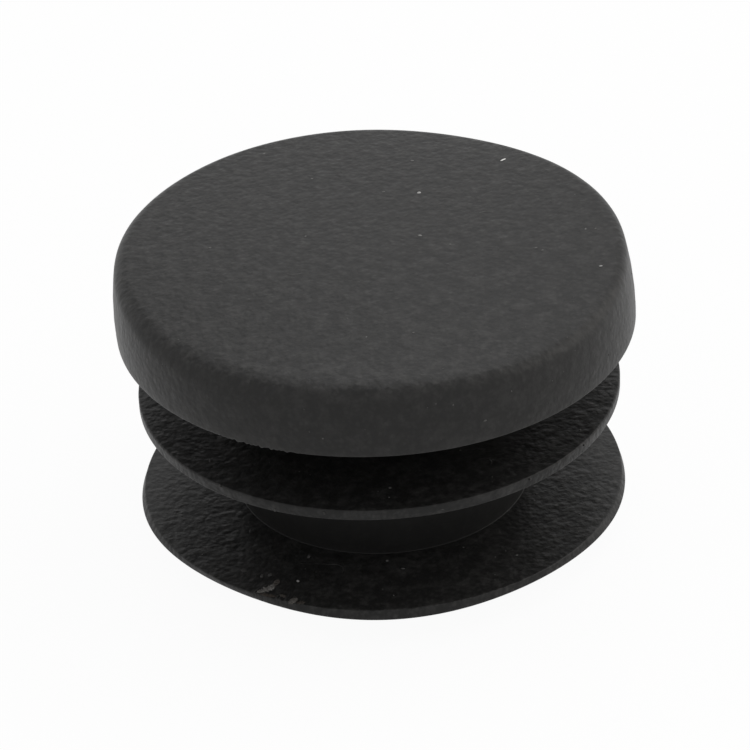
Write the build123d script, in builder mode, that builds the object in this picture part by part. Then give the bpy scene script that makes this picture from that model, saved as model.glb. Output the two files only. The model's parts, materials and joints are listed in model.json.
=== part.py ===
from build123d import *
from math import radians, tan
import os

# Round insert cap for the open end of a 25 mm round tube, moulded in one piece.
# The origin is the centre of the head's underside, which seats on the tube's end.
# +Z runs up through the head, so the stem and its fins hang below the XY plane.
# The cap is one half section, drawn with X as the radius and Y as the height,
# and turned once about the Z axis.

# Head
head_diameter = 25.0        # across the lower edge, flush with the outside of the tube
head_side_height = 3.8      # from the seat to the corner where side and top would meet
head_side_lean = 0.35       # how far the side leans in over that height
head_side_bow = 0.14        # swell of the side between its two edges
head_crown = 0.15           # rise of the top from its edge to the axis
head_top_round = 0.5
head_seat_break = 0.12      # small chamfer round the seat's outer edge

# Stem
stem_diameter = 14.4
stem_tip_length = 1.5       # from the rim of the lowest fin to the stem's end
stem_tip_chamfer = 0.35     # leads the stem into the tube

# Fins, from the head down
fin_diameter = 23.5
fin_head_gap = 3.4          # from the seat to the top of the first fin
fin_pitch = 5.55            # from the top of one fin to the top of the next
fin_rims = [0.55, 0.4]      # thickness of each fin at its rim
fin_taper = 0.4             # how much thicker a fin is where it meets the stem

# Core, open at the stem's end
core_wall = 1.4             # wall of the stem at the open end
core_cap_wall = 2.1         # plastic left between the core and the middle of the top
core_draft = 1.0            # degrees on each side, narrowing towards the head
core_end_chamfer = 0.8

# Places that follow from the sizes
head_radius = head_diameter / 2
top_radius = head_radius - head_side_lean
top_height = head_side_height + head_crown
stem_radius = stem_diameter / 2
fin_radius = fin_diameter / 2
fin_tops = [-fin_head_gap - fin_pitch * number for number in range(len(fin_rims))]
stem_end = fin_tops[-1] - fin_rims[-1] - stem_tip_length
core_end = top_height - core_cap_wall
core_mouth_radius = stem_radius - core_wall
core_end_radius = core_mouth_radius - (core_end - stem_end) * tan(radians(core_draft))


def head_outline():
    """Half section of the head: crowned top, leaning and bowed side, flat seat."""
    with BuildLine() as outline:
        TangentArc((0, top_height), (top_radius, head_side_height), tangent=(1, 0))
        SagittaArc((top_radius, head_side_height), (head_radius, 0), head_side_bow)
        Polyline((head_radius, 0), (0, 0), (0, top_height))
    make_face(outline.edges())


def stem_outline():
    """Half section of the stem, from the seat down to its end."""
    Polygon((0, 0), (stem_radius, 0), (stem_radius, stem_end), (0, stem_end), align=None)


def fin_outline(top, rim):
    """Half section of one fin: flat on top, thinning to its rim underneath."""
    rim_edges = (fin_radius, top), (fin_radius, top - rim)
    root = top - rim - fin_taper
    Polygon((0, top), *rim_edges, (stem_radius, root), (0, root), align=None)


def core_outline():
    """Half section of the core, drafted so that its pin draws out of the stem's end."""
    wall = (core_end_radius, core_end), (core_mouth_radius, stem_end)
    Polygon((0, core_end), *wall, (0, stem_end), align=None, mode=Mode.SUBTRACT)


def corner(sketch, radius, height):
    """The corner of the section that lies at that place."""
    return sketch.vertices().sort_by_distance((radius, height))[0]


with BuildPart() as insert_cap:
    with BuildSketch(Plane.XZ) as section:
        head_outline()
        stem_outline()
        for top, rim in zip(fin_tops, fin_rims):
            fin_outline(top, rim)
        core_outline()
        fillet(corner(section, top_radius, head_side_height), head_top_round)
        chamfer(corner(section, head_radius, 0), head_seat_break)
        chamfer(corner(section, stem_radius, stem_end), stem_tip_chamfer)
        chamfer(corner(section, core_end_radius, core_end), core_end_chamfer)
    revolve(axis=Axis.Z)

insert_cap.part.label = "insert_cap"
os.makedirs("parts", exist_ok=True)
export_step(insert_cap.part, "parts/insert_cap.step")
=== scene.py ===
import json

from math import comb

import bpy
import numpy as np
from bpy.props import FloatProperty, FloatVectorProperty, IntProperty, PointerProperty
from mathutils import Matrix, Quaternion, Vector
from mathutils.bvhtree import BVHTree


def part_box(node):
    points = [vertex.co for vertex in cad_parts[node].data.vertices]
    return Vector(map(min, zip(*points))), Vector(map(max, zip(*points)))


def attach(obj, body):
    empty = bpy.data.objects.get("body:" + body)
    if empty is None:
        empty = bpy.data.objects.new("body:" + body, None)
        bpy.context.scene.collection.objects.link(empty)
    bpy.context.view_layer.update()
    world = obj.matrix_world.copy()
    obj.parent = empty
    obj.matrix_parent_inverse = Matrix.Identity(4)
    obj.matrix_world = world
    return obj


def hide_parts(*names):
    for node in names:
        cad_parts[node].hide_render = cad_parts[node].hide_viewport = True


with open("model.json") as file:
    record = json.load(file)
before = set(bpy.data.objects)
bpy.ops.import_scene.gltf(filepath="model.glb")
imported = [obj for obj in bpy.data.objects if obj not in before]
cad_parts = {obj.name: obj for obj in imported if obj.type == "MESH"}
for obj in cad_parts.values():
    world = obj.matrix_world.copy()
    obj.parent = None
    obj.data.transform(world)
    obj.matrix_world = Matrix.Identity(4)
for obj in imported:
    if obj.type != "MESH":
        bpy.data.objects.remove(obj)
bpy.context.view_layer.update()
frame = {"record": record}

bl_info = {
    "name": "Round insert cap",
    "version": (1, 0, 0),
    "blender": (4, 5, 0),
    "location": "3D View > Sidebar > Insert cap",
    "description": "Builds a moulded round insert cap for a tube's end, with its grain, flash and dust",
    "category": "Add Mesh",
}

MM = 0.001
BODY = "root"
NODE = "insert_cap"
PALENESS = "paleness"
# Where the rays start that lay small things on the cap: outside it, and in the free space over each level
OUTSIDE = 30 * MM
RAY_STARTS = {"head": 10 * MM, "upper": -0.5 * MM, "lower": -5.5 * MM}
# Waves once round of each sine in the side's ripples and in the ragged steps, and the seeds of their phases
RIPPLE_COUNTS, RIPPLE_SEED = (2, 3, 5, 9), 4
RAGGED_COUNTS, RAGGED_SEED = (130, 190, 310), 7
# Waves along a torn shred of each sine in its width
SHRED_COUNTS = (3, 5, 8)
# Distance from the seat's edge and from the lower rim's top edge at which the ragged steps fall to 37%
SEAT_REACH, RIM_REACH = 0.2 * MM, 0.25 * MM
# How far the lower rim's edge steps up there, as a share of how far it steps in
RIM_LIFT = 0.8
# Shares of the head's radius between which the side's ripples, and its fainter grain and painted light, come
# in
RIPPLE_RISE = (0.7, 0.95)
SIDE_RISE = (0.94, 0.98)
# Weights of pebbles, wrinkles, clusters and the finest noise in the grain's height
PEBBLE, WRINKLE, CLUSTER, FINE = 0.55, 0.8, 1.2, 0.1
# Weights of soft pale patches and of bright domes in how pale the plastic is. The patches are partly random
# tone and partly a painted sheen of the grain; the domes are a painted sheen on its pebbles
MOTTLE_AND_SHEEN, PAINTED_SHEEN = 0.6, 0.4
# Scattered specks: ranges of size, paleness and height on the side, each as a share, and length over width
SPECK_SIZES, SPECK_PALENESS, SPECK_HEIGHTS = (0.6, 1.3), (0.0, 0.1), (0.1, 0.7)
SPECK_LENGTH = 1.3

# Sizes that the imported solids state
cap_low, cap_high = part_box(NODE)
mounts = {mount["name"]: mount for mount in frame["record"]["mounts"]}
seat_height = mounts["tube_seat"]["pos_m"][2]
rim_radius = mounts["fin_rims"]["dims"]["r_mm"] * MM

# Where marks lie as (x, y) in mm. The surface under them gives their heights.
WITNESS_LINES = {
    "upper": [[(4.5, -7.85), (5.0, -7.8), (5.1, -7.95), (5.05, -8.35)]],
    "lower": [[(-4.2, -7.7), (-2.6, -7.85), (-2.05, -7.8), (-2.0, -8.1), (-2.15, -8.75)]],
}
# Angles of the small nubs on the upper rim's top edge, in degrees from +X, and their half sizes in mm
NUB_ANGLES = (-130.5, -54.7, -35.9)
NUB_HALF_SIZES = (0.09, 0.07, 0.06)
# Torn shreds on the lower fin: their line in mm, half width in mm, and paleness, which is how much painted
# highlight each carries
SHREDS = [
    ([(-6.25, -9.9), (-5.95, -9.8), (-5.6, -9.6), (-5.35, -9.3)], 0.17, 0.42),
    ([(-5.85, -9.7), (-5.6, -9.7), (-5.4, -9.55)], 0.12, 0.7),
    ([(-5.5, -9.45), (-5.2, -9.1), (-5.25, -8.9)], 0.13, 0.12),
    ([(-6.1, -10.0), (-5.7, -10.2), (-5.3, -10.3)], 0.12, 0.03),
    ([(-4.65, -10.6), (-4.5, -10.75), (-4.4, -10.85)], 0.24, 0.3),
    ([(-4.35, -10.85), (-4.15, -10.95), (-3.95, -10.9)], 0.12, 0.05),
    ([(-5.15, -10.15), (-5.0, -10.3), (-4.85, -10.4)], 0.1, 0.12),
]
# Specks as x, y, half length and half width in mm, turn from +X in degrees, and paleness
SPECKS = {
    "head": [
        (6.66, 7.98, 0.22, 0.04, 38, 1.0), (2.38, 4.87, 0.12, 0.07, 8, 0.5),
        (2.29, 0.75, 0.09, 0.06, 0, 0.3), (10.71, -2.3, 0.08, 0.06, 20, 0.35),
        (-3.2, 1.09, 0.07, 0.05, 40, 0.12), (-7.78, 0.54, 0.06, 0.05, 0, 0.15),
        (7.75, -0.65, 0.07, 0.05, 30, 0.14), (8.05, -0.87, 0.06, 0.05, 0, 0.12),
        (10.23, 0.9, 0.07, 0.05, 60, 0.16), (10.71, 0.9, 0.05, 0.05, 0, 0.12),
        (3.69, -0.16, 0.06, 0.05, 0, 0.12), (0.65, 5.09, 0.07, 0.05, 10, 0.14),
        (2.16, 8.21, 0.08, 0.05, 0, 0.2), (-5.22, 9.67, 0.08, 0.05, 20, 0.16),
        (-2.84, 6.74, 0.07, 0.05, 0, 0.14), (-0.49, -7.81, 0.06, 0.05, 0, 0.12),
        (1.68, -7.61, 0.06, 0.05, 30, 0.12),
    ],
    "upper": [
        (-8.13, -6.79, 0.12, 0.07, 80, 0.04), (0.28, -9.89, 0.09, 0.06, 0, 0.05),
        (9.41, -5.77, 0.12, 0.04, 70, 0.04),
    ],
    "lower": [
        (-4.28, -9.13, 0.1, 0.055, 92, 0.32), (-0.01, -7.81, 0.08, 0.06, 90, 0.1),
        (-3.74, -7.13, 0.14, 0.08, 70, 0.04), (-6.56, -4.72, 0.14, 0.06, 90, 0.03),
        (0.72, -8.52, 0.08, 0.05, 0, 0.06), (6.18, -7.89, 0.08, 0.05, 30, 0.06),
        (9.43, -4.7, 0.08, 0.06, 0, 0.05), (7.45, -2.68, 0.08, 0.06, 0, 0.05),
        (-6.85, -8.03, 0.16, 0.12, 60, 0.0), (-5.99, -8.56, 0.13, 0.1, 80, 0.01),
        (-5.6, -8.5, 0.13, 0.1, 70, 0.01),
    ],
}
# Specks on the rims and the head's side: angle in degrees, height, half length and half width
# in mm, turn in degrees, and paleness
EDGE_SPECKS = [
    (-115.7, -3.88, 0.08, 0.08, 0, 0.03), (-103.8, -3.62, 0.08, 0.09, 0, 0.0),
    (-77.0, -3.7, 0.07, 0.05, 0, 0.02), (-67.8, 1.12, 0.08, 0.05, 20, 0.06),
]
# Fibres of lint as their line in mm and paleness
FIBRES = {
    "upper": [([(7.61, -5.08), (8.07, -5.1), (8.57, -5.6)], 0.12)],
    "head": [([(-4.1, -2.2), (-3.7, -2.4), (-3.4, -2.2)], 0.1), ([(5.2, 2.7), (5.5, 2.9), (5.9, 2.8)], 0.1)],
}


def length(name, description, default):
    """A size property in metres."""
    return FloatProperty(name=name, description=description, default=default, unit="LENGTH", precision=5)


def angle(name, description, degrees):
    """An angle property, given in degrees and kept in radians."""
    return FloatProperty(name=name, description=description, default=np.radians(degrees), subtype="ANGLE")


def lengths(name, description, default):
    """Four sizes in metres."""
    return FloatVectorProperty(name=name, description=description, default=default, size=4, unit="LENGTH")


def angles_of(name, description, degrees):
    """Four angles, given in degrees and kept in radians."""
    default = np.radians(degrees).tolist()
    return FloatVectorProperty(name=name, description=description, default=default, size=4, unit="ROTATION")


def count(name, description, default):
    """A whole number property."""
    return IntProperty(name=name, description=description, default=default, min=1)


def amount(name, description, default):
    """A plain number property."""
    return FloatProperty(name=name, description=description, default=default, precision=3)


def colour(name, description, default):
    """A linear colour property."""
    return FloatVectorProperty(
        name=name, description=description, default=default, subtype="COLOR", min=0, max=1)


def place(name, description, default):
    """A point in the object's frame, in metres."""
    return FloatVectorProperty(
        name=name, description=description, default=default, subtype="XYZ", unit="LENGTH")


class SectionSizes(bpy.types.PropertyGroup):
    """Half section of the moulding"""

    head_radius: length("Head radius", "Radius of the head at its seat", cap_high.x)
    head_top: length("Head top", "Height of the middle of the head over the seat", cap_high.z)
    side_height: length("Side height", "Height of the corner between the head's side and top", 3.7 * MM)
    side_lean: length("Side lean", "How far the head's side leans in over its height", 0.35 * MM)
    side_bow: length("Side bow", "Swell of the head's side between its edges", 0.14 * MM)
    top_round: length("Top round", "Radius of the head's upper edge", 0.5 * MM)
    seat_round: length("Seat round", "Radius of the head's lower edge", 0.1 * MM)
    stem_radius: length("Stem radius", "Outer radius of the stem", 7.2 * MM)
    stem_end: length("Stem end", "Height of the stem's end, below the seat", cap_low.z)
    tip_round: length("Tip round", "Radius of the stem's outer edge at its end", 0.35 * MM)
    root_round: length("Root round", "Radius where fins and head meet the stem", 0.04 * MM)
    fin_radius: length("Fin radius", "Radius of the fins at their rims", rim_radius)
    fin_gap: length("Fin gap", "From the seat to the top of the upper fin", 3.4 * MM)
    fin_pitch: length("Fin pitch", "From the top of one fin to the top of the next", 5.55 * MM)
    upper_rim: length("Upper rim", "Thickness of the upper fin at its rim", 0.55 * MM)
    lower_rim: length("Lower rim", "Thickness of the lower fin at its rim", 0.4 * MM)
    lower_flare: length("Lower flare", "How far the lower rim's bottom edge passes its top", 0.15 * MM)
    fin_taper: length("Fin taper", "How much thicker a fin is at the stem", 0.4 * MM)
    rim_round: length("Rim round", "Radius of the fins' edges", 0.09 * MM)
    lower_spread: length("Lower spread", "How far the lower fin reaches past the upper one", 0.07 * MM)
    core_wall: length("Core wall", "Wall of the stem at its open end", 1.4 * MM)
    core_roof: length("Core roof", "Height of the core's end over the seat", 1.85 * MM)
    core_draft: angle("Core draft", "Lean of the core's wall, narrowing towards the head", 1.0)
    core_round: length("Core round", "Radius of the core's inner corner", 0.8 * MM)


class MouldingFaults(bpy.types.PropertyGroup):
    """How this cap came out of its mould"""

    head_waves: lengths("Head waves", "How far the head's upper edge rises with 1, 2, 3 and 4 crests",
                        (0.31 * MM, 0.085 * MM, 0.14 * MM, 0.09 * MM))
    head_crests: angles_of("Head crests", "Where each of those waves has a crest, from +X", (110, 39, 24, 9))
    soft_round: length("Soft round", "Radius of the upper edge where it is softest", 1.1 * MM)
    soft_drop: length("Soft drop", "How much lower the upper edge is there", 0.3 * MM)
    soft_angle: angle("Soft angle", "Where the upper edge is softest, from +X", -118.0)
    soft_power: count("Soft power", "The higher it is, the shorter the soft stretch", 5)
    head_lean: angle("Head lean", "How far the head leans towards -X", 2.6)
    fin_tilt: angle("Fin tilt", "How far the fins rise towards +X", 0.36)
    unevenness: length("Unevenness", "Depth of the slow ripples of the head's side", 0.02 * MM)
    rim_waves: lengths("Rim waves", "How far the lower rim's bottom edge waves, 2, 3, 4 and 5 crests",
                       (0.09 * MM, 0.02 * MM, 0.07 * MM, 0.11 * MM))
    rim_crests: angles_of("Rim crests", "Where each of those waves has a crest, from +X", (-54, 9, 9, -22))
    ragged_angle: angle("Ragged angle", "Middle of the ragged stretch of the edges, from +X", -117.0)
    ragged_spread: angle("Ragged spread", "Half the angle that the ragged stretch takes", 9.0)
    ragged_depth: length("Ragged depth", "How far the torn edges step out of line", 0.035 * MM)


class MeshDensity(bpy.types.PropertyGroup):
    """How finely the moulding is divided"""

    columns: count("Columns", "Steps round the axis", 520)
    finer: count("Finer", "How much smaller the steps are at the ragged edge", 4)
    row_spacing: length("Row spacing", "Longest step along the section", 1.3 * MM)
    row_turn: angle("Row turn", "Largest turn between two rows of a round", 15.0)


class PlasticFinish(bpy.types.PropertyGroup):
    """Grained black plastic"""

    base: colour("Colour", "Colour of the plastic between the pebbles of its grain", (0.0098, 0.0096, 0.0093))
    # The pale colour also carries painted light: the painted sheen of the grain and the brighter head's side
    pale: colour("Pale colour", "Colour of the palest pebbles", (0.036, 0.035, 0.034))
    roughness: amount("Roughness", "Roughness of the grained skin", 0.43)
    smooth_roughness: amount("Smooth roughness", "Roughness where there is no grain", 0.42)
    # As the grain fades on the stem its pale tone fades too, which darkens the stem between the fins as
    # painted shade
    stem_fade: amount("Stem fade", "Share of the grain that the stem lacks", 0.85)
    side_fade: amount("Side fade", "Share of the grain that the head's side lacks", 0.45)
    # Painted light: a flat share of the pale colour makes the head's side look brighter lit
    side_painted_light: amount("Side paleness", "Share of the pale colour added on the head's side", 0.22)
    specular: amount("Specular", "Strength of the reflection", 0.185)
    grain_pitch: length("Grain pitch", "Width of one pebble of the grain", 0.3 * MM)
    grain_depth: length("Grain depth", "Depth of the grain", 0.042 * MM)


class Leftovers(bpy.types.PropertyGroup):
    """Mould marks, torn flash and dust"""

    bead_radius: length("Bead radius", "Half the width of the raised lines that the mould left", 0.06 * MM)
    bead_height: amount("Bead height", "Height of those lines as a share of half their width", 0.35)
    shred_steps: count("Shred steps", "Steps along a torn shred", 40)
    shred_height: amount("Shred height", "Height of a torn shred as a share of its width", 0.3)
    fibre_radius: length("Fibre radius", "Radius of a fibre of lint", 0.018 * MM)
    fleck_height: amount("Fleck height", "Height of a speck as a share of its width", 0.6)
    scattered: count("Scattered specks", "Faint specks on each level face and on the side", 40)
    scattered_size: length("Scattered size", "Half the width of a scattered speck", 0.028 * MM)
    seed: count("Seed", "Start of the random draws", 5)


class StageSettings(bpy.types.PropertyGroup):
    """Camera, lamps and floor"""

    camera: place("Camera", "Where the camera stands", (0.0, -146.928 * MM, 87.482 * MM))
    aim: place("Aim", "The point at the middle of the picture", (-0.181 * MM, 0.0, -3.33 * MM))
    roll: angle("Roll", "How far the camera is turned about its view, clockwise", 2.7)
    lens: amount("Lens", "Focal length in millimetres on a 36 mm sensor", 169.92)
    floor_size: length("Floor size", "Width of the floor", 1.2)
    floor_gap: length("Floor gap", "How far the floor lies under the stem's end", 0.01 * MM)
    floor_tone: amount("Floor tone", "Brightness of the floor's own surface", 0.85)
    shadow_share: amount("Shadow share", "How much of the floor's own shade the camera sees", 0.05)
    surround_light: amount("Surround light", "Brightness of the white surroundings as light on the cap", 0.6)
    lamp_power: amount("Lamp power", "Power of the overhead lamp in watts", 0.4)
    lamp_place: place("Lamp place", "Where the overhead lamp hangs", (0.06, 0.14, 0.32))
    side_power: amount("Side power", "Power of the lamp at the right in watts", 0.42)
    side_place: place("Side place", "Where the lamp at the right stands", (0.3, 0.04, 0.16))
    side_colour: colour("Side colour", "Colour of the lamp at the right", (1.0, 0.97, 0.92))
    lamp_size: length("Lamp size", "Width of each lamp", 0.3)


class Socket:
    """One output of a shader node. Arithmetic on it adds Math nodes to its tree."""

    def __init__(self, nodes, output):
        self.nodes = nodes
        self.output = output

    def math(self, operation, *values):
        return self.nodes.add("Math", {"operation": operation}, dict(enumerate(values)))

    def __add__(self, other):
        return self.math("ADD", self, other)

    def __sub__(self, other):
        return self.math("SUBTRACT", self, other)

    def __rsub__(self, other):
        return self.math("SUBTRACT", other, self)

    def __mul__(self, other):
        return self.math("MULTIPLY", self, other)

    def __pow__(self, other):
        return self.math("POWER", self, other)

    def __gt__(self, other):
        return self.math("GREATER_THAN", self, other)

    def __lt__(self, other):
        return self.math("LESS_THAN", self, other)

    __radd__ = __add__
    __rmul__ = __mul__

    def larger(self, other):
        return self.math("MAXIMUM", self, other)

    def rise(self, start, end):
        """0 below start, 1 above end and a smooth step between."""
        settings = {"interpolation_type": "SMOOTHSTEP"}
        return self.nodes.add("MapRange", settings, {"Value": self, "From Min": start, "From Max": end})


class Nodes:
    """The node tree of a material or world, emptied and built again."""

    def __init__(self, owner):
        owner.use_nodes = True
        self.tree = owner.node_tree
        self.tree.nodes.clear()

    def add(self, kind, settings, inputs, output=0):
        """Adds a node, sets its settings, then its sockets' values or links, and returns one output."""
        node = self.tree.nodes.new("ShaderNode" + kind)
        for name, value in settings.items():
            setattr(node, name, value)
        for name, value in inputs.items():
            if isinstance(value, Socket):
                self.tree.links.new(value.output, node.inputs[name])
            else:
                node.inputs[name].default_value = value
        return Socket(self, node.outputs[output]) if len(node.outputs) else None

    def blend(self, factor, first, second):
        """Mix of two colours. Their sockets go by number, because the node has others of the same name."""
        return self.add("Mix", {"data_type": "RGBA"}, {0: factor, 6: first, 7: second}, 2)

    def noise(self, where, size, detail=2.0, rough=0.5):
        """Noise whose features are about that wide, in metres, from 0 to 1."""
        settings = {"noise_dimensions": "3D"}
        inputs = {"Vector": where, "Scale": 1 / size, "Detail": detail, "Roughness": rough}
        return self.add("TexNoise", settings, inputs)

    def object_place(self):
        """The point on the object, as a vector and as its x, y and z."""
        where = self.add("TexCoord", {}, {}, "Object")
        axes = [self.add("SeparateXYZ", {}, {0: where}, axis) for axis in "XYZ"]
        return where, *axes

    def paleness(self):
        """How pale the mesh says that its small shell is, from 0 to 1."""
        return self.add("Attribute", {"attribute_name": PALENESS}, {}, "Fac")

    def seen_directly(self):
        """1 for rays from the camera, a reflection or glass, and 0 for light that falls on a surface."""
        kinds = ["Is Camera Ray", "Is Glossy Ray", "Is Transmission Ray"]
        camera, glossy, through = [self.add("LightPath", {}, {}, kind) for kind in kinds]
        return camera.larger(glossy).larger(through)


def opaque(value):
    """A linear colour with its alpha."""
    return (*value, 1.0)


def plastic_material(finish, sizes):
    """Black plastic with a pebbled grain, fainter on the head's side and faintest on the stem. Its pale tone
    carries a painted sheen of the grain, painted light on the head's side and painted shade on the stem.
    """
    material = bpy.data.materials.new("grained_plastic")
    nodes = Nodes(material)
    where, x, y, z = nodes.object_place()
    radius = (x * x + y * y) ** 0.5

    on_stem = (radius < sizes.stem_radius + sizes.root_round) * (z < seat_height)
    side_start, side_full = (sizes.head_radius * share for share in SIDE_RISE)
    on_side = radius.rise(side_start, side_full) * (z > seat_height)
    # The stem keeps little of the pale tone: painted shade between the fins
    grained = 1 - on_stem * finish.stem_fade - on_side * finish.side_fade

    cells = {"Vector": where, "Scale": 1 / finish.grain_pitch, "Smoothness": 0.5, "Randomness": 1.0}
    pebble = 1 - nodes.add("TexVoronoi", {"feature": "SMOOTH_F1"}, cells, "Distance")
    wrinkle = nodes.noise(where, finish.grain_pitch * 1.2, 2.0, 0.6)
    fine = nodes.noise(where, finish.grain_pitch * 0.4, 1.0, 0.5)
    cluster = nodes.noise(where, finish.grain_pitch * 2.2, 1.0, 0.5)
    height = (pebble * PEBBLE + wrinkle * WRINKLE + cluster * CLUSTER + fine * FINE) * grained

    # Bright domes are pale spots on random cells: a painted sheen of the grain's pebbles, as are the soft
    # patches in part
    cells = {"Vector": where, "Scale": 1 / (finish.grain_pitch * 0.85), "Randomness": 1.0}
    dome = 1 - nodes.add("TexVoronoi", {}, cells, "Distance")
    sheen_pick = nodes.add("SeparateColor", {}, {0: nodes.add("TexVoronoi", {}, cells, "Color")}, "Red")
    painted_sheen = dome.rise(0.35, 0.8) * sheen_pick.rise(0.35, 1.0)
    mottle = nodes.noise(where, finish.grain_pitch * 2.2, 3.0, 0.75).rise(0.4, 0.72)
    # On the head's side a flat share of the pale colour is added as painted light
    shade = (mottle * MOTTLE_AND_SHEEN + painted_sheen * PAINTED_SHEEN) * grained + on_side * finish.side_painted_light
    tone = nodes.blend(shade, opaque(finish.base), opaque(finish.pale))
    skin = finish.smooth_roughness + grained * (finish.roughness - finish.smooth_roughness)
    roughness = skin + (fine - 0.5) * 0.12
    bump = {"Strength": 1.0, "Distance": finish.grain_depth, "Height": height}
    surface = {
        "Base Color": tone,
        "Roughness": roughness,
        "Specular IOR Level": finish.specular,
        "Normal": nodes.add("Bump", {}, bump),
    }
    shader = nodes.add("BsdfPrincipled", {}, surface)
    nodes.add("OutputMaterial", {}, {"Surface": shader})
    return material


def torn_material():
    """Torn plastic whose pale tone is a painted highlight of its torn edges, with brown grime in its folds.
    """
    material = bpy.data.materials.new("torn_plastic")
    nodes = Nodes(material)
    where, *_ = nodes.object_place()
    fold = nodes.noise(where, 0.3 * MM, 2.0, 0.5)
    streak = nodes.noise(where, 0.1 * MM, 2.0, 0.5)
    # The pale colour is a painted highlight of the torn edges; the brown is grime
    painted_highlight = (0.26, 0.255, 0.245, 1.0)
    grime = (0.024, 0.018, 0.014, 1.0)
    tone = nodes.blend(nodes.paleness() * (fold.rise(0.3, 0.6) * 0.4 + 0.6), grime, painted_highlight)
    bump = nodes.add("Bump", {}, {"Strength": 0.8, "Distance": 0.02 * MM, "Height": streak})
    surface = {"Base Color": tone, "Roughness": fold * 0.3 + 0.6, "Specular IOR Level": 0.25, "Normal": bump}
    nodes.add("OutputMaterial", {}, {"Surface": nodes.add("BsdfPrincipled", {}, surface)})
    return material


def dust_material():
    """Lint and dust, each speck as pale as its paleness says."""
    material = bpy.data.materials.new("dust")
    nodes = Nodes(material)
    where, *_ = nodes.object_place()
    fuzz = nodes.noise(where, 0.04 * MM)
    dark = (0.035, 0.0345, 0.0335, 1.0)
    light = (0.8, 0.795, 0.78, 1.0)
    tone = nodes.blend(nodes.paleness() * (fuzz * 0.4 + 0.8), dark, light)
    bump = nodes.add("Bump", {}, {"Strength": 0.5, "Distance": 0.01 * MM, "Height": fuzz})
    surface = {"Base Color": tone, "Roughness": fuzz * 0.2 + 0.7, "Specular IOR Level": 0.2, "Normal": bump}
    nodes.add("OutputMaterial", {}, {"Surface": nodes.add("BsdfPrincipled", {}, surface)})
    return material


def floor_material(stage):
    """Pale matte floor. The camera and reflections see it as white, with a share of its own shade."""
    material = bpy.data.materials.new("pale_floor")
    nodes = Nodes(material)
    where, *_ = nodes.object_place()
    mottle = nodes.noise(where, 40 * MM, 2.0, 0.5)
    tone = nodes.blend(mottle, opaque([stage.floor_tone] * 3), opaque([stage.floor_tone * 0.98] * 3))
    matte = nodes.add("BsdfDiffuse", {}, {"Color": tone})
    white = nodes.add("Emission", {}, {"Color": opaque([1.0] * 3), "Strength": 1.0})
    share = nodes.seen_directly() * (1 - stage.shadow_share)
    nodes.add("OutputMaterial", {}, {"Surface": nodes.add("MixShader", {}, {0: share, 1: matte, 2: white})})
    return material


def white_world(stage):
    """White surroundings that light the cap at the level that the stage sets."""
    world = bpy.data.worlds.new("white_surroundings")
    nodes = Nodes(world)
    light = nodes.add("Background", {}, {"Color": opaque([1.0] * 3), "Strength": stage.surround_light})
    white = nodes.add("Background", {}, {"Color": opaque([1.0] * 3), "Strength": 1.0})
    mix = {0: nodes.seen_directly(), 1: light, 2: white}
    nodes.add("OutputWorld", {}, {"Surface": nodes.add("MixShader", {}, mix)})
    return world


def unit(vectors):
    """The vectors, each divided by its length."""
    return vectors / np.linalg.norm(vectors, axis=-1, keepdims=True)


def stretch(start, end, steps):
    """Points from start to end, the last left out, and closer near both ends.

    The share of the way at step i of n is half of 1 - cos(pi i / n).
    """
    share = (1 - np.cos(np.pi * np.arange(steps) / steps)) / 2
    return start + share[:, None] * (end - start)


def rounded_path(corners, radii, spacing, turn):
    """A path through the corners, each but the first and last replaced by an arc that both its sides touch.

    With a the unit vector to the corner before, b that to the corner after, and h half the angle
    between them, an arc of radius R touches the sides R / tan(h) from the corner, and its centre
    lies R / sin(h) away along a + b. The arc's points turn evenly from one touching point to the other.
    The number of points on a side follows from the distance of its corners, whatever the radii.
    """
    corners = np.array(corners, float)
    sides = np.linalg.norm(np.diff(corners, axis=0), axis=1)
    side_steps = np.maximum(2, np.ceil(sides * np.pi / 2 / spacing)).astype(int)
    pieces, reached = [], corners[0]
    for before, corner, after, radius, side in zip(corners, corners[1:], corners[2:], radii, side_steps):
        a, b = unit(before - corner), unit(after - corner)
        half = np.arccos(np.clip(a @ b, -1, 1)) / 2
        centre = corner + unit(a + b) * radius / np.sin(half)
        arc_start = corner + a * radius / np.tan(half)
        swept = np.pi - 2 * half
        steps = max(3, int(np.ceil(swept / turn)))
        arc_end = corner + b * radius / np.tan(half)
        first, last = unit(arc_start - centre), unit(arc_end - centre)
        across = unit(last - first * (last @ first))
        angles = np.arange(steps) * swept / steps
        pieces.append(stretch(reached, arc_start, side))
        pieces.append(centre + radius * (np.outer(np.cos(angles), first) + np.outer(np.sin(angles), across)))
        reached = arc_end
    pieces.append(stretch(reached, corners[-1], side_steps[-1]))
    return np.concatenate([*pieces, corners[-1:]])


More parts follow.
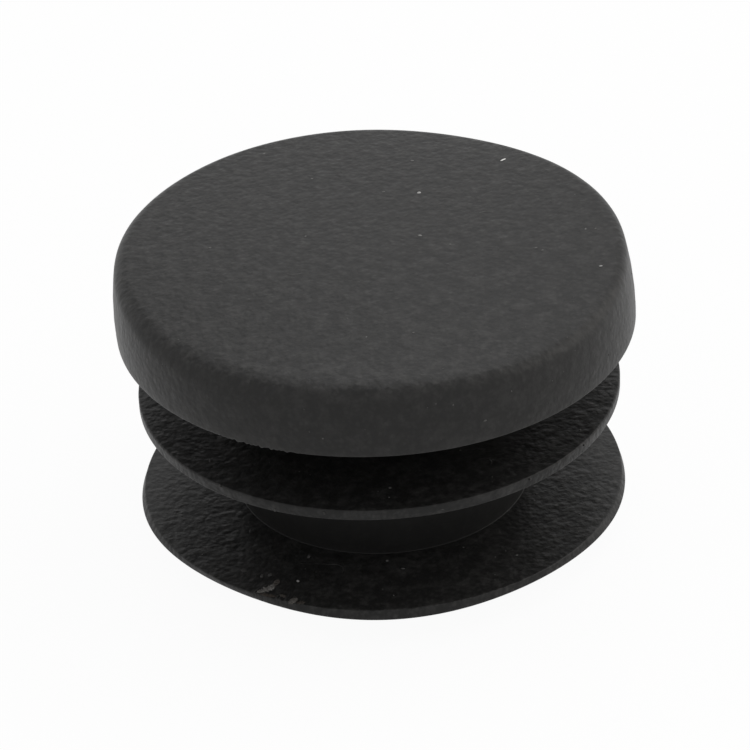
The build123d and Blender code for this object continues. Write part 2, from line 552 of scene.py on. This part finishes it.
def section_path(sizes, density, top_round):
    """Half section of the moulding as points (radius, height), and which of them are the head's.

    It runs from the middle of the top to that of the core's end, as straight sides and arcs, with
    top_round for the head's upper corner. With s the height as a share of the side's, the head then
    swells out by 4 bow s (1 - s), and rises by (head top - side height) s (1 - (radius / top radius)^2).
    """
    s = sizes
    top_radius = s.head_radius - s.side_lean
    upper, lower = -s.fin_gap, -s.fin_gap - s.fin_pitch
    mouth = s.stem_radius - s.core_wall
    inner = mouth - (s.core_roof - s.stem_end) * np.tan(s.core_draft)
    lower_radius = s.fin_radius + s.lower_spread
    corners_and_rounds = [
        ((top_radius, s.side_height), top_round),
        ((s.head_radius, seat_height), s.seat_round),
        ((s.stem_radius, seat_height), s.root_round),
        ((s.stem_radius, upper), s.root_round),
        ((s.fin_radius, upper), s.rim_round),
        ((s.fin_radius, upper - s.upper_rim), s.rim_round),
        ((s.stem_radius, upper - s.upper_rim - s.fin_taper), s.root_round),
        ((s.stem_radius, lower), s.root_round),
        ((lower_radius, lower), s.rim_round),
        ((lower_radius + s.lower_flare, lower - s.lower_rim), s.rim_round),
        ((s.stem_radius, lower - s.lower_rim - s.fin_taper), s.root_round),
        ((s.stem_radius, s.stem_end), s.tip_round),
        ((mouth, s.stem_end), s.rim_round),
        ((inner, s.core_roof), s.core_round),
    ]
    corners = [corner for corner, _ in corners_and_rounds]
    radii = [radius for _, radius in corners_and_rounds]
    path = rounded_path(
        [(0, s.side_height), *corners, (0, s.core_roof)], radii, density.row_spacing, density.row_turn)

    head = np.arange(len(path)) < np.argmax(path[:, 1] <= seat_height)
    share = np.clip(path[:, 1] / s.side_height, 0, 1)
    crown = (s.head_top - s.side_height) * (1 - (path[:, 0] / top_radius) ** 2) * share
    bow = 4 * s.side_bow * share * (1 - share)
    path[:, 0] += np.where(head, bow, 0)
    path[:, 1] += np.where(head, crown, 0)
    return path, head


def uneven_angles(total, middle, spread, finer):
    """Angles once round, measured from +X, with steps that are that much finer near the middle.

    The density of the angles is 1 plus a bell of height finer - 1 about the middle, and the angles
    are the places where its running sum passes equal shares.
    """
    fine = np.linspace(middle - np.pi, middle + np.pi, 20 * total)
    running = np.cumsum(1 + (finer - 1) * np.exp(-((fine - middle) / spread) ** 4))
    return np.interp(np.linspace(0, running[-1], total, endpoint=False), running, fine)


def waves(angles, counts, seed):
    """Twice the mean of the sines of n a + phase, with n from the counts and seeded phases."""
    phases = np.random.default_rng(seed).uniform(0, 2 * np.pi, len(counts))
    return np.sin(np.outer(angles, counts) + phases).mean(axis=1) * 2


def slow_waves(angles, first_count, depths, crests, share=1.0):
    """The sum of depth share^(2 n - 1) cos(n (a - crest)), with n rising by one from the first count."""
    counts = range(first_count, first_count + len(depths))
    return sum(depth * share ** (2 * n - 1) * np.cos(n * (angles - crest))
               for n, depth, crest in zip(counts, depths, crests))


def smooth_step(value, start, end):
    """0 before start, 1 after end, and 3 t t - 2 t t t between."""
    share = np.clip((value - start) / (end - start), 0, 1)
    return share * share * (3 - 2 * share)


def moulded_grid(sizes, faults, density):
    """The section turned about Z, then bent as this cap is.

    A section point (radius, height) at angle a stands at (radius cos a, radius sin a, height). It
    goes over to a section with a larger upper round as the softness, which is
    (1 + cos(a - soft angle)) / 2 to the soft power, rises to 1. The head's side ripples in and out.
    The head's top rises by a few slow waves, the first of them a plain tilt and the others mostly
    near the edge, and drops by soft drop times softness times its share of the radius squared, both
    in proportion to its height over the seat. The head leans in proportion to that height, and each
    fin rises in proportion to x and to its reach past the stem. The lower rim's bottom edge moves
    out by slow waves too, which fade to nothing at its top edge and at the stem. Over the ragged
    stretch the seat's edge steps up and down, and the lower rim's top edge steps in and up.
    """
    path, head = section_path(sizes, density, sizes.top_round)
    soft, _ = section_path(sizes, density, faults.soft_round)
    angles = uneven_angles(density.columns, faults.ragged_angle, faults.ragged_spread, density.finer)
    softness = ((1 + np.cos(angles - faults.soft_angle)) / 2) ** faults.soft_power
    radius = path[:, :1] + (soft - path)[:, :1] * softness
    height = path[:, 1:] + (soft - path)[:, 1:] * softness

    share = np.where(head[:, None], np.clip(height / sizes.side_height, 0, 1.1), 0)
    ripple = waves(angles, RIPPLE_COUNTS, RIPPLE_SEED) * faults.unevenness
    ripple_start, ripple_full = (sizes.head_radius * part for part in RIPPLE_RISE)
    radius = radius + ripple * share * smooth_step(radius, ripple_start, ripple_full)

    near = np.exp(-((angles - faults.ragged_angle) / faults.ragged_spread) ** 4)
    steps = waves(angles, RAGGED_COUNTS, RAGGED_SEED) * near * faults.ragged_depth
    seat_edge = np.exp(-(np.hypot(radius - sizes.head_radius, height - seat_height) / SEAT_REACH) ** 2)
    rim_height = -sizes.fin_gap - sizes.fin_pitch
    rim_edge = np.exp(-(np.hypot(radius - sizes.fin_radius, height - rim_height) / RIM_REACH) ** 2)

    reach = np.clip((path[:, :1] - sizes.stem_radius) / (sizes.fin_radius - sizes.stem_radius), 0, 1)
    flare = slow_waves(angles, 2, faults.rim_waves, faults.rim_crests)
    under = np.clip((rim_height - path[:, 1:]) / sizes.lower_rim, 0, 1)
    radius = radius + flare * under * reach - np.abs(steps) * rim_edge
    height = height + steps * seat_edge + np.abs(steps) * RIM_LIFT * rim_edge

    x, y = radius * np.cos(angles), radius * np.sin(angles)
    on_fin = reach * (path[:, 1:] < -sizes.fin_gap / 2)
    out = np.clip(path[:, :1] / (sizes.head_radius - sizes.side_lean), 0, 1)
    drop = faults.soft_drop * softness * out ** 2
    warp = slow_waves(angles, 1, faults.head_waves, faults.head_crests, out) - drop
    z = height + warp * share + x * on_fin * np.tan(faults.fin_tilt)
    x = x - share * sizes.side_height * np.tan(faults.head_lean)
    return np.stack([x, y, z], axis=-1)


def closed_mesh(name, grids, paleness=None):
    """A mesh of closed shells, one for each grid of points, of shape (shells, rows, columns, 3).

    The columns run once round the shell, anticlockwise as seen from outside its first row, and the
    last meets the first. The first and last rows are poles: each becomes one point, the mean of its row.
    Where each shell has a paleness, every one of its points carries it.
    """
    grids = np.asarray(grids, float)
    shells, rows, columns, _ = grids.shape
    rings = grids[:, 1:-1].reshape(shells, -1, 3)
    poles = grids[:, [0, -1]].mean(axis=2)
    points = np.concatenate([poles[:, :1], rings, poles[:, 1:]], axis=1)
    here = np.arange(columns)
    beside = (here + 1) % columns
    ring = 1 + columns * np.arange(rows - 2)[:, None]
    above, below = ring[:-1], ring[1:]
    quads = np.stack([above + here, below + here, below + beside, above + beside], axis=-1).reshape(-1, 4)
    last_ring, last = ring[-1], points.shape[1] - 1
    first_fan = np.stack([np.zeros_like(here), 1 + here, 1 + beside], axis=-1)
    last_fan = np.stack([last_ring + here, np.full_like(here, last), last_ring + beside], axis=-1)
    offsets = points.shape[1] * np.arange(shells)[:, None, None]
    faces = []
    for kind in (quads, first_fan, last_fan):
        faces += (kind + offsets).reshape(-1, kind.shape[1]).tolist()
    mesh = bpy.data.meshes.new(name)
    mesh.from_pydata(points.reshape(-1, 3), [], faces)
    mesh.shade_smooth()
    if paleness is not None:
        values = np.repeat(np.array(paleness, float), points.shape[1])
        mesh.attributes.new(PALENESS, "FLOAT", "POINT").data.foreach_set("value", values)
    mesh.update()
    return mesh


def add_piece(name, mesh, material):
    """Puts a finished mesh in the scene as a piece that rides on the cap."""
    mesh.materials.append(material)
    piece = bpy.data.objects.new(name, mesh)
    bpy.context.scene.collection.objects.link(piece)
    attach(piece, BODY)
    return piece


def moulding_surface():
    """A search tree of the moulding's faces, for laying small things on it."""
    if "moulding" not in bpy.data.objects:
        raise RuntimeError("The moulding has to be built before what lies on it")
    mesh = bpy.data.objects["moulding"].data
    points = [point.co for point in mesh.vertices]
    return BVHTree.FromPolygons(points, [face.vertices for face in mesh.polygons])


def lay(surface, starts, directions):
    """Where rays from the starts first meet the surface, and the surface's outward normals there."""
    hits = [surface.ray_cast(Vector(start), Vector(way)) for start, way in zip(starts, directions)]
    if any(hit[0] is None for hit in hits):
        raise RuntimeError("Something was laid where the cap has no surface")
    return np.array([hit[0] for hit in hits]), np.array([hit[1] for hit in hits])


def lay_down(surface, level, places):
    """Lays (x, y) places on the head or a fin, along rays that start in the free space above that level."""
    starts = np.column_stack([places, np.full(len(places), RAY_STARTS[level])])
    return lay(surface, starts, np.tile((0.0, 0.0, -1.0), (len(places), 1)))


def lay_inward(surface, angles, heights):
    """Lays things on the side or a rim, along level rays from outside to the axis."""
    outward = np.column_stack([np.cos(angles), np.sin(angles), np.zeros(len(angles))])
    return lay(surface, outward * OUTSIDE + np.outer(heights, (0, 0, 1)), -outward)


def pebbles(places, normals, half_sizes, turns, seed, rows=7, columns=10):
    """Small lumpy ellipsoids on the surface.

    Each is centre + k (a sin u cos v along + b sin u sin v across + c cos u up), with u from the top
    to the bottom, v round it, and the half sizes a, b and c. Up is the surface's normal, and along
    is X laid into the surface and turned. The factor k is 1 + 0.2 sin u sin(2 v + phase).
    """
    u = np.linspace(0, np.pi, rows)[None, :, None]
    v = (2 * np.pi * np.arange(columns) / columns)[None, None, :]
    phases = np.random.default_rng(seed).uniform(0, 2 * np.pi, len(places))[:, None, None]
    lump = 1 + 0.2 * np.sin(u) * np.sin(2 * v + phases)
    shares = (np.sin(u) * np.cos(v), np.sin(u) * np.sin(v), np.cos(u) + 0 * v)
    level = unit(np.array((1.0, 0, 0)) - normals * normals[:, :1])
    beside = np.cross(normals, level)
    cosine, sine = np.cos(turns)[:, None], np.sin(turns)[:, None]
    axes = (level * cosine + beside * sine, beside * cosine - level * sine, normals)
    offsets = sum((lump * share * half_sizes[:, k, None, None])[..., None] * axis[:, None, None]
                  for k, (share, axis) in enumerate(zip(shares, axes)))
    return places[:, None, None, :] + offsets


def curve(points, steps):
    """The curve that the points steer: the sum of C(n, k) t^k (1 - t)^(n - k) point k, for t from 0 to 1."""
    last = len(points) - 1
    t = np.linspace(0, 1, steps)[:, None]
    return sum(comb(last, k) * t ** k * (1 - t) ** (last - k) * np.array(point)
               for k, point in enumerate(points))


def laid_tube(surface, level, points, radii, columns=12, flatness=1.0):
    """A closed tube whose middle follows the surface along the curve that the points steer, in mm.

    Each ring is centre + radius (cos v side + flatness sin v up), where side is level and square to
    the curve's direction, and up is square to both. It turns anticlockwise as seen from the start.
    """
    path, _ = lay_down(surface, level, curve(points, len(radii)) * MM)
    direction = unit(np.gradient(path, axis=0))
    side = unit(np.cross(direction, (0, 0, 1)))
    up = np.cross(side, direction)
    v = 2 * np.pi * np.arange(columns) / columns
    ring = np.cos(v)[None, :, None] * side[:, None] + flatness * np.sin(v)[None, :, None] * up[:, None]
    return path[:, None] + radii[:, None, None] * ring


def tapered(steps, radius, power):
    """Radii that swell from nothing to the radius and back: radius sin(pi t) to the power."""
    return radius * np.sin(np.pi * np.linspace(0, 1, steps)) ** power


def add_lamp(name, location, power, tint, size):
    """A soft square lamp that faces the cap."""
    light = bpy.data.lights.new(name, "AREA")
    light.energy = power
    light.color = tint
    light.size = size
    lamp = bpy.data.objects.new(name, light)
    lamp.location = location
    lamp.rotation_euler = (-Vector(location)).to_track_quat("-Z", "Y").to_euler()
    bpy.context.scene.collection.objects.link(lamp)


class INSERTCAP_OT_moulding(bpy.types.Operator):
    """Build the moulded cap"""

    bl_idname = "insertcap.moulding"
    bl_label = "Moulding"

    def execute(self, context):
        scene = context.scene
        grid = moulded_grid(scene.cap_section, scene.cap_faults, scene.cap_density)
        mesh = closed_mesh("moulding", grid[None])
        piece = add_piece("moulding", mesh, plastic_material(scene.cap_finish, scene.cap_section))
        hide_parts(NODE)
        return {"FINISHED"}


class INSERTCAP_OT_mould_marks(bpy.types.Operator):
    """Lay the raised witness lines on the fins and the nubs on the upper rim"""

    bl_idname = "insertcap.mould_marks"
    bl_label = "Mould marks"

    def execute(self, context):
        scene, leftovers = context.scene, context.scene.cap_leftovers
        surface = moulding_surface()
        plastic = plastic_material(scene.cap_finish, scene.cap_section)
        radii = tapered(leftovers.shred_steps, leftovers.bead_radius, 0.3)
        lines = [(level, line) for level, traces in WITNESS_LINES.items() for line in traces]
        beads = [laid_tube(surface, level, line, radii, flatness=leftovers.bead_height)
                 for level, line in lines]
        add_piece("witness_lines", closed_mesh("witness_lines", beads), plastic)

        angles = np.radians(NUB_ANGLES)
        heights = np.full(len(angles), -scene.cap_section.fin_gap - scene.cap_section.rim_round)
        half_sizes = np.tile(NUB_HALF_SIZES, (len(angles), 1)) * MM
        places, normals = lay_inward(surface, angles, heights)
        nubs = pebbles(places, normals, half_sizes, np.zeros(len(angles)), leftovers.seed)
        add_piece("rim_nubs", closed_mesh("rim_nubs", nubs), plastic)
        return {"FINISHED"}


class INSERTCAP_OT_torn_flash(bpy.types.Operator):
    """Lay the torn shreds of flash on the lower rim"""

    bl_idname = "insertcap.torn_flash"
    bl_label = "Torn flash"

    def execute(self, context):
        leftovers = context.scene.cap_leftovers
        surface = moulding_surface()
        round_once = np.linspace(0, 2 * np.pi, leftovers.shred_steps)
        grids = []
        for number, (line, half_width, _) in enumerate(SHREDS):
            lumps = 1 + 0.25 * waves(round_once, SHRED_COUNTS, leftovers.seed + number)
            radii = tapered(leftovers.shred_steps, half_width * MM, 0.6) * lumps
            grids.append(laid_tube(surface, "lower", line, radii, flatness=leftovers.shred_height))
        mesh = closed_mesh("torn_flash", grids, [paleness for *_, paleness in SHREDS])
        add_piece("torn_flash", mesh, torn_material())
        return {"FINISHED"}


class INSERTCAP_OT_dust(bpy.types.Operator):
    """Lay specks of dust and fibres of lint on the cap"""

    bl_idname = "insertcap.dust"
    bl_label = "Dust"

    def execute(self, context):
        sizes, leftovers = context.scene.cap_section, context.scene.cap_leftovers
        surface = moulding_surface()
        rows, laid = [], []
        for level, specks in SPECKS.items():
            specks = np.array([*specks, *self.scattered(level, sizes, leftovers)])
            laid.append(lay_down(surface, level, specks[:, :2] * MM))
            rows.append(specks[:, 2:])
        specks = np.array([*EDGE_SPECKS, *self.scattered("side", sizes, leftovers)])
        laid.append(lay_inward(surface, np.radians(specks[:, 0]), specks[:, 1] * MM))
        rows.append(specks[:, 2:])

        rows = np.concatenate(rows)
        places, normals = (np.concatenate(parts) for parts in zip(*laid))
        half_sizes = np.column_stack([rows[:, :2], rows[:, 1] * leftovers.fleck_height]) * MM
        grids = pebbles(places, normals, half_sizes, np.radians(rows[:, 2]), leftovers.seed)
        dust = dust_material()
        add_piece("dust_specks", closed_mesh("dust_specks", grids, rows[:, 3]), dust)

        radii = tapered(leftovers.shred_steps, leftovers.fibre_radius, 0.2)
        fibres = [(level, *fibre) for level, lines in FIBRES.items() for fibre in lines]
        grids = [laid_tube(surface, level, line, radii, 6) for level, line, _ in fibres]
        mesh = closed_mesh("lint_fibres", grids, [paleness for *_, paleness in fibres])
        add_piece("lint_fibres", mesh, dust)
        return {"FINISHED"}

    def scattered(self, level, sizes, leftovers):
        """Faint specks drawn at random on one level, in the same columns as those listed."""
        draws = np.random.default_rng(leftovers.seed + len(level))
        total = leftovers.scattered
        angles = draws.uniform(0, 2 * np.pi, total)
        half = leftovers.scattered_size / MM * draws.uniform(*SPECK_SIZES, total)
        turns, paleness = draws.uniform(0, 180, total), draws.uniform(*SPECK_PALENESS, total)
        marks = (half * SPECK_LENGTH, half, turns, paleness)
        if level == "side":
            heights = draws.uniform(*SPECK_HEIGHTS, total) * sizes.side_height / MM
            return np.column_stack([np.degrees(angles), heights, *marks])
        inside = 0 if level == "head" else sizes.stem_radius * 1.05
        outside = (sizes.head_radius if level == "head" else sizes.fin_radius) * 0.95
        radius = np.sqrt(draws.uniform(inside ** 2, outside ** 2, total)) / MM
        return np.column_stack([radius * np.cos(angles), radius * np.sin(angles), *marks])


class INSERTCAP_OT_stage(bpy.types.Operator):
    """Set up the floor, the white surroundings, the lamps and the camera"""

    bl_idname = "insertcap.stage"
    bl_label = "Stage"

    def execute(self, context):
        scene, stage = context.scene, context.scene.cap_stage
        half, level = stage.floor_size / 2, cap_low.z - stage.floor_gap
        corners = [(x, y, level) for x, y in ((-half, -half), (half, -half), (half, half), (-half, half))]
        mesh = bpy.data.meshes.new("floor")
        mesh.from_pydata(corners, [], [(0, 1, 2, 3)])
        mesh.materials.append(floor_material(stage))
        floor = bpy.data.objects.new("floor", mesh)
        scene.collection.objects.link(floor)
        scene.world = white_world(stage)

        add_lamp("overhead_lamp", stage.lamp_place, stage.lamp_power, (1, 1, 1), stage.lamp_size)
        add_lamp("side_lamp", stage.side_place, stage.side_power, stage.side_colour, stage.lamp_size)

        lens = bpy.data.cameras.new("camera")
        lens.lens = stage.lens
        lens.clip_start = 10 * MM
        camera = bpy.data.objects.new("camera", lens)
        view = (Vector(stage.aim) - Vector(stage.camera)).to_track_quat("-Z", "Y")
        camera.rotation_mode = "QUATERNION"
        camera.rotation_quaternion = view @ Quaternion((0, 0, 1), -stage.roll)
        camera.location = stage.camera
        scene.collection.objects.link(camera)
        scene.camera = camera
        scene.view_settings.view_transform = "Standard"
        return {"FINISHED"}


class INSERTCAP_PT_panel(bpy.types.Panel):
    """Sizes, finish and building steps of the cap"""

    bl_label = "Insert cap"
    bl_idname = "INSERTCAP_PT_panel"
    bl_space_type = "VIEW_3D"
    bl_region_type = "UI"
    bl_category = "Insert cap"

    def draw(self, context):
        for title, name in GROUPS.items():
            box = self.layout.box()
            box.label(text=title)
            group = getattr(context.scene, name)
            for key in group.__annotations__:
                box.prop(group, key)
        for operator in OPERATORS:
            self.layout.operator(operator.bl_idname)


GROUPS = {
    "Section": "cap_section",
    "Faults": "cap_faults",
    "Mesh": "cap_density",
    "Plastic": "cap_finish",
    "Leftovers": "cap_leftovers",
    "Stage": "cap_stage",
}
GROUP_CLASSES = (SectionSizes, MouldingFaults, MeshDensity, PlasticFinish, Leftovers, StageSettings)
OPERATORS = (
    INSERTCAP_OT_moulding,
    INSERTCAP_OT_mould_marks,
    INSERTCAP_OT_torn_flash,
    INSERTCAP_OT_dust,
    INSERTCAP_OT_stage,
)
CLASSES = (*GROUP_CLASSES, *OPERATORS, INSERTCAP_PT_panel)


def register():
    for item in CLASSES:
        bpy.utils.register_class(item)
    for name, group in zip(GROUPS.values(), GROUP_CLASSES):
        setattr(bpy.types.Scene, name, PointerProperty(type=group))


def unregister():
    for name in GROUPS.values():
        delattr(bpy.types.Scene, name)
    for item in reversed(CLASSES):
        bpy.utils.unregister_class(item)


def main():
    """Build every piece and the stage."""
    register()
    bpy.ops.insertcap.moulding()
    bpy.ops.insertcap.mould_marks()
    bpy.ops.insertcap.torn_flash()
    bpy.ops.insertcap.dust()
    bpy.ops.insertcap.stage()


if __name__ == "__main__":
    main()
